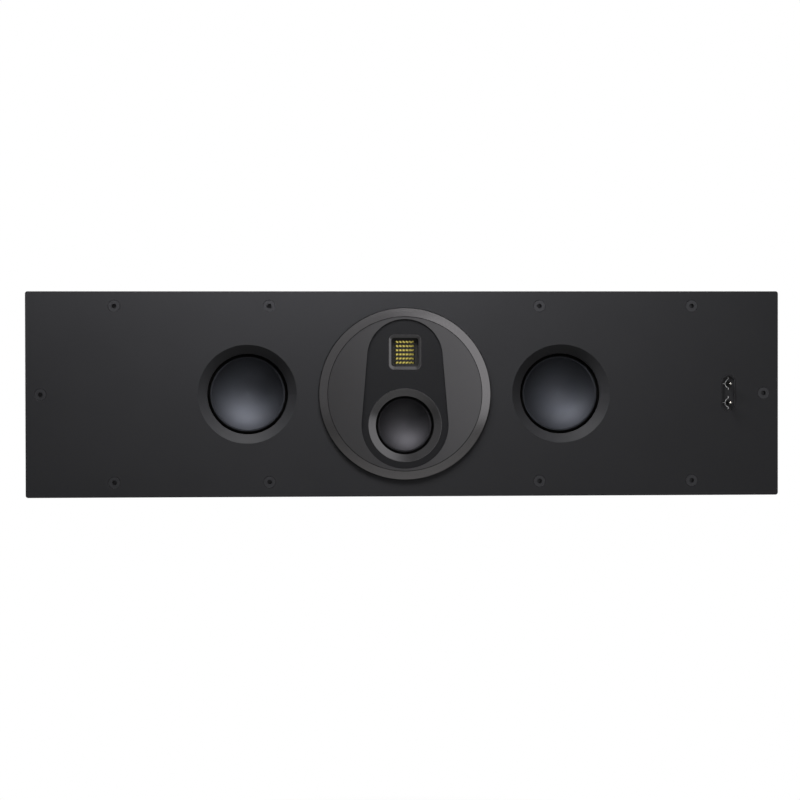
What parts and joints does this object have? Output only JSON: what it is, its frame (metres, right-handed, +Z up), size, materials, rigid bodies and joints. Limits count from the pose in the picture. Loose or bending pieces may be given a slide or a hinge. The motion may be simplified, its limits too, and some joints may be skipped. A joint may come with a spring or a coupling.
{
  "type": "in-wall speaker",
  "caption": "Flanged in-wall loudspeaker: long baffle with a dished woofer at each side, a round pod with a midrange cone and pleated tweeter between them, on a shallow back box.",
  "frame": {"origin": "middle of the flange's rear face, in the plane of the wall", "axes": "+X along the baffle to the right seen from the room, +Y into the wall, +Z up"},
  "size_m": [0.764, 0.1173, 0.208],
  "materials": {
    "painted_board": "satin black paint on fibreboard",
    "raw_board": "raw fibreboard",
    "foam": "closed-cell foam",
    "wadding": "polyester wadding",
    "black_screw": "black oxide steel",
    "zinc_screw": "zinc plated",
    "insert_brass": "turned",
    "soft_rubber": "moulded rubber",
    "cone_grey": "coated cone with a satin sheen",
    "coil_copper": "enamelled wire on a foil former",
    "spider_cloth": "impregnated cloth",
    "basket_black": "powder coat",
    "motor_steel": "zinc plated",
    "ferrite": "sintered",
    "trim_grey": "satin dark grey paint",
    "pod_black": "moulded, fine texture",
    "plate_black": "black paint",
    "gold_film": "metallised film",
    "cup_black": "moulded",
    "nickel": "nickel plate",
    "board_green": "glass-fibre board with solder mask",
    "nylon": "moulded nylon",
    "copper_wire": "enamelled copper",
    "film_yellow": "wrapped film",
    "cement": "fired",
    "lead_sleeve": "flexible sleeve"
  },
  "bodies": {
    "cabinet": {"baffle_gasket": "foam", "baffle_screws": "black_screw", "cabinet_back": "raw_board", "cabinet_bottom": "raw_board", "cabinet_braces": "raw_board", "cabinet_left_end": "raw_board", "cabinet_right_end": "raw_board", "cabinet_top": "raw_board", "cable_grommet": "soft_rubber", "crossover_board": "board_green", "crossover_capacitors": "film_yellow", "crossover_coils": "copper_wire", "crossover_pillars": "nylon", "crossover_resistors": "cement", "damping_pads": "wadding", "driver_leads": "lead_sleeve", "front_baffle": "painted_board", "left_woofer_basket": "basket_black", "left_woofer_front_plate": "motor_steel", "left_woofer_magnet": "ferrite", "left_woofer_spider": "spider_cloth", "left_woofer_surround": "soft_rubber", "left_woofer_yoke": "motor_steel", "right_woofer_basket": "basket_black", "right_woofer_front_plate": "motor_steel", "right_woofer_magnet": "ferrite", "right_woofer_spider": "spider_cloth", "right_woofer_surround": "soft_rubber", "right_woofer_yoke": "motor_steel", "switch_bodies": "cup_black", "switch_cup": "cup_black", "switch_nuts": "nickel", "threaded_inserts": "insert_brass", "woofer_screws": "zinc_screw"},
    "left_woofer_cone": {"left_woofer_cone": "cone_grey", "left_woofer_voice_coil": "coil_copper"},
    "right_woofer_cone": {"right_woofer_cone": "cone_grey", "right_woofer_voice_coil": "coil_copper"},
    "pod": {"pod_carrier": "pod_black", "pod_face": "trim_grey", "pod_bezel": "trim_grey", "pod_rear_cup": "pod_black", "pod_ring_nut": "pod_black", "mid_trim_ring": "trim_grey", "mid_basket": "basket_black", "mid_surround": "soft_rubber", "mid_spider": "spider_cloth", "mid_motor_cup": "motor_steel", "mid_magnet": "ferrite", "mid_pole_cap": "motor_steel", "tweeter_trim": "trim_grey", "tweeter_front_plate": "plate_black", "tweeter_rear_plate": "motor_steel", "tweeter_magnets": "ferrite", "pleated_diaphragm": "gold_film", "tweeter_rear_cover": "pod_black"},
    "mid_cone": {"mid_cone": "cone_grey", "mid_voice_coil": "coil_copper"},
    "upper_switch_lever": {"upper_switch_lever": "nickel"},
    "lower_switch_lever": {"lower_switch_lever": "nickel"}
  },
  "joints": [
    {"name": "left_woofer_travel", "type": "slide", "parent": "cabinet", "child": "left_woofer_cone", "axis": [0, 1, 0], "range_m": [-0.004, 0.004], "stiffness_N_per_m": 1100, "deforming": ["left_woofer_surround", "left_woofer_spider"]},
    {"name": "right_woofer_travel", "type": "slide", "parent": "cabinet", "child": "right_woofer_cone", "axis": [0, 1, 0], "range_m": [-0.004, 0.004], "stiffness_N_per_m": 1100, "deforming": ["right_woofer_surround", "right_woofer_spider"]},
    {"name": "pod_turn", "type": "hinge", "parent": "cabinet", "child": "pod", "pos_m": [0, -0.008, 0], "axis": [0, 1, 0], "range_deg": [0, 90]},
    {"name": "mid_travel", "type": "slide", "parent": "pod", "child": "mid_cone", "axis": [0, 1, 0], "range_m": [-0.0015, 0.0015], "stiffness_N_per_m": 1200, "deforming": ["mid_surround", "mid_spider"]},
    {"name": "upper_switch", "type": "hinge", "parent": "cabinet", "child": "upper_switch_lever", "pos_m": [0.331, -0.009, 0.0097], "axis": [1, 0, 0], "range_deg": [-12.5, 12.5]},
    {"name": "lower_switch", "type": "hinge", "parent": "cabinet", "child": "lower_switch_lever", "pos_m": [0.331, -0.009, -0.0097], "axis": [1, 0, 0], "range_deg": [-12.5, 12.5]}
  ]
}
